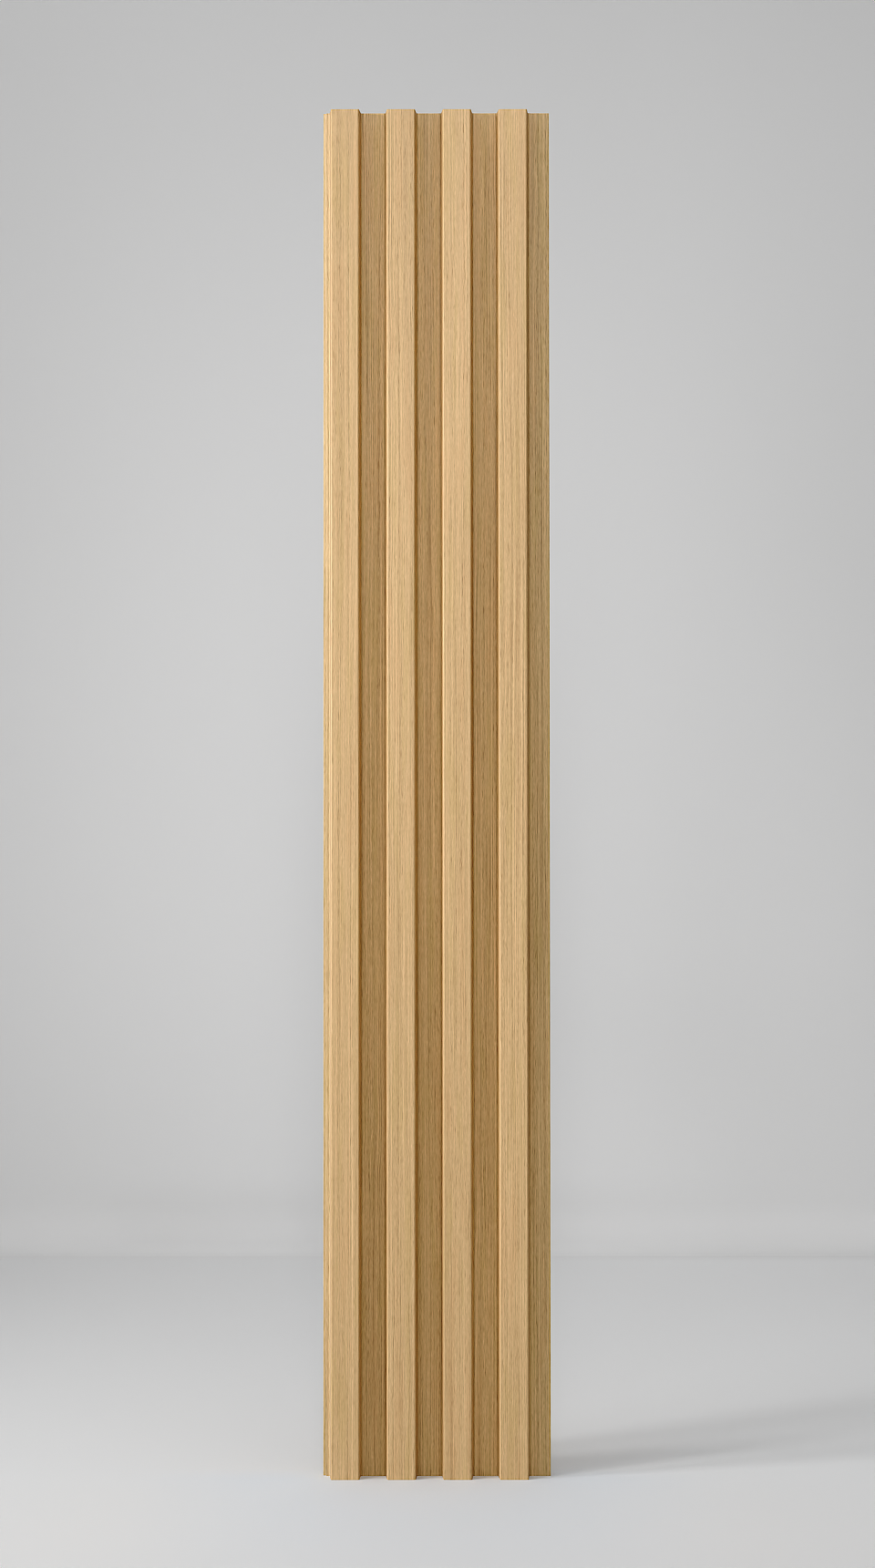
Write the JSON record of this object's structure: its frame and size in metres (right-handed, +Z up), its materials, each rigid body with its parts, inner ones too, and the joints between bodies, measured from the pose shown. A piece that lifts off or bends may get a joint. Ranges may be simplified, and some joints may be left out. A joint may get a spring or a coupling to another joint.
{
  "type": "fluted wall panel",
  "caption": "Hollow extruded fluted wall panel in a pale oak finish, with upright ribs on a thin base, a tongue on one long edge and a groove on the other.",
  "frame": {"origin": "middle of the bounding box's bottom face, on the cut lower end that the board stands on", "axes": "+Z up along the board's length, +X across the ribs to the right seen from the front, -Y the way the ribs face, +Y the back face's way"},
  "size_m": [0.1622, 0.024, 0.975],
  "materials": {
    "oak_film": "satin oak-grain film over a tan wood-plastic core"
  },
  "bodies": {
    "root": {"panel": "oak_film"}
  },
  "joints": []
}
